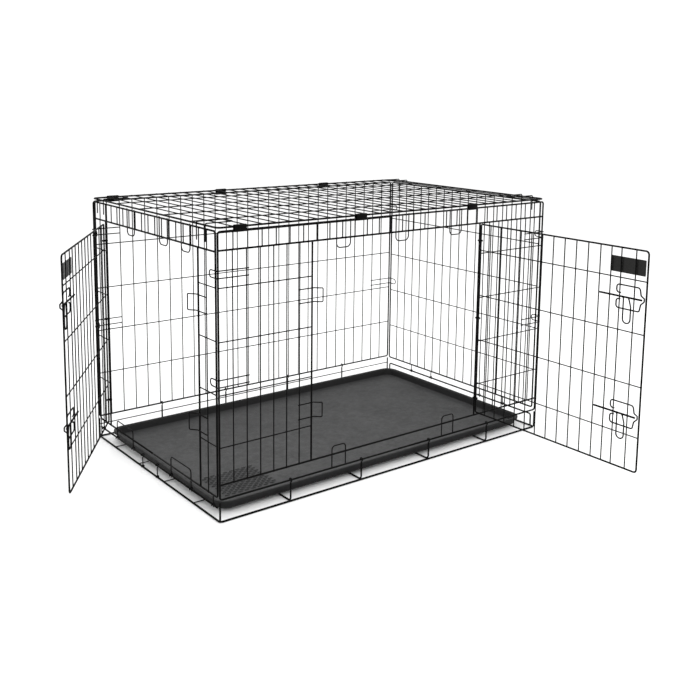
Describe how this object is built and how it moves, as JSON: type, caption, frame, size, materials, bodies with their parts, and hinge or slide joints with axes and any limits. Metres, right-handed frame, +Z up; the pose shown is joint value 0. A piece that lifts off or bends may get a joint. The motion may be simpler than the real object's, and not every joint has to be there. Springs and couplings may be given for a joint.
{
  "type": "wire dog crate",
  "caption": "Folding black wire crate with a side door and an end door on slide bolts, an open wire base and a lift-in plastic tray.",
  "frame": {"origin": "on the floor, under the middle of the base frame's front rail", "axes": "+Z up, +X along the crate's length towards the end without a door, -Y out through the front doorway"},
  "size_m": [1.5361, 1.3867, 0.7841],
  "materials": {
    "wire": "black powder coat, satin, slightly textured",
    "hardware": "black powder coat, satin, a little glossier where the bolts rub",
    "tray": "moulded black plastic with a fine pebble grain on the floor and a smoother rolled rim",
    "plate": "smooth black plastic, blank"
  },
  "bodies": {
    "crate": {"base_frame": "wire", "front_panel": "wire", "back_panel": "wire", "top_panel": "wire", "front_door_stop_1": "wire", "front_door_stop_2": "wire", "front_door_stop_3": "wire", "front_sill_stop_1": "wire", "front_sill_stop_2": "wire", "front_upper_keeper": "wire", "front_lower_keeper": "wire", "front_lid_sleeve_1": "hardware", "front_lid_sleeve_2": "hardware", "front_lid_sleeve_3": "hardware", "back_lid_sleeve_1": "hardware", "back_lid_sleeve_2": "hardware", "back_lid_sleeve_3": "hardware", "front_base_eye_1": "hardware", "front_base_eye_2": "hardware", "front_base_eye_3": "hardware", "front_base_eye_4": "hardware", "back_base_eye_1": "hardware", "back_base_eye_2": "hardware", "back_base_eye_3": "hardware", "back_base_eye_4": "hardware", "left_front_lid_hook": "hardware", "left_back_lid_hook": "hardware", "right_front_lid_hook": "hardware", "right_back_lid_hook": "hardware", "front_hinge_clip_1": "hardware", "front_hinge_clip_2": "hardware", "front_hinge_clip_3": "hardware"},
    "tray_pan": {"tray": "tray"},
    "left_end": {"left_end_panel": "wire", "end_door_stop_1": "wire", "end_door_stop_2": "wire", "end_door_stop_3": "wire", "end_upper_keeper": "wire", "end_lower_keeper": "wire", "end_hinge_clip_1": "hardware", "end_hinge_clip_2": "hardware", "end_hinge_clip_3": "hardware"},
    "right_end": {"right_end_panel": "wire"},
    "front_gate": {"front_door": "wire", "front_door_plate": "plate", "front_upper_bracket": "hardware", "front_lower_bracket": "hardware"},
    "end_gate": {"end_door": "wire", "end_door_plate": "plate", "end_upper_bracket": "hardware", "end_lower_bracket": "hardware"},
    "front_upper_rod": {"front_upper_bolt": "hardware"},
    "front_upper_paddle": {"front_upper_handle": "hardware"},
    "front_lower_rod": {"front_lower_bolt": "hardware"},
    "front_lower_paddle": {"front_lower_handle": "hardware"},
    "end_upper_rod": {"end_upper_bolt": "hardware"},
    "end_upper_paddle": {"end_upper_handle": "hardware"},
    "end_lower_rod": {"end_lower_bolt": "hardware"},
    "end_lower_paddle": {"end_lower_handle": "hardware"}
  },
  "joints": [
    {"name": "tray_slide", "type": "slide", "parent": "crate", "child": "tray_pan", "axis": [1, 0, 0], "range_m": [0, 0.55]},
    {"name": "left_end_fold", "type": "hinge", "parent": "crate", "child": "left_end", "pos_m": [-0.6065, 0.385, 0.038], "axis": [0, 1, 0], "range_deg": [0, 90]},
    {"name": "right_end_fold", "type": "hinge", "parent": "crate", "child": "right_end", "pos_m": [0.6065, 0.385, 0.043], "axis": [0, 1, 0], "range_deg": [-90, 0]},
    {"name": "front_door_swing", "type": "hinge", "parent": "crate", "child": "front_gate", "pos_m": [0.317, -0.0071, 0.4], "axis": [0, 0, 1], "range_deg": [-90, 85]},
    {"name": "end_door_swing", "type": "hinge", "parent": "left_end", "child": "end_gate", "pos_m": [-0.6136, 0.679, 0.4], "axis": [0, 0, 1], "range_deg": [-126, 34]},
    {"name": "front_upper_bolt_slide", "type": "slide", "parent": "front_gate", "child": "front_upper_rod", "axis": [0, -1, 0], "range_m": [0, 0.033]},
    {"name": "front_upper_handle_turn", "type": "hinge", "parent": "front_upper_rod", "child": "front_upper_paddle", "pos_m": [0.3228, -0.5411, 0.583], "axis": [0, -1, 0], "range_deg": [0, 95]},
    {"name": "front_lower_bolt_slide", "type": "slide", "parent": "front_gate", "child": "front_lower_rod", "axis": [0, -1, 0], "range_m": [0, 0.033]},
    {"name": "front_lower_handle_turn", "type": "hinge", "parent": "front_lower_rod", "child": "front_lower_paddle", "pos_m": [0.3228, -0.5411, 0.262], "axis": [0, -1, 0], "range_deg": [0, 95]},
    {"name": "end_upper_bolt_slide", "type": "slide", "parent": "end_gate", "child": "end_upper_rod", "axis": [-0.5592, -0.829, 0], "range_m": [0, 0.033]},
    {"name": "end_upper_handle_turn", "type": "hinge", "parent": "end_upper_rod", "child": "end_upper_paddle", "pos_m": [-0.88682, 0.2843, 0.573], "axis": [0.5592, 0.829, 0], "range_deg": [0, 95]},
    {"name": "end_lower_bolt_slide", "type": "slide", "parent": "end_gate", "child": "end_lower_rod", "axis": [-0.5592, -0.829, 0], "range_m": [0, 0.033]},
    {"name": "end_lower_handle_turn", "type": "hinge", "parent": "end_lower_rod", "child": "end_lower_paddle", "pos_m": [-0.88682, 0.2843, 0.25], "axis": [0.5592, 0.829, 0], "range_deg": [0, 95]}
  ]
}
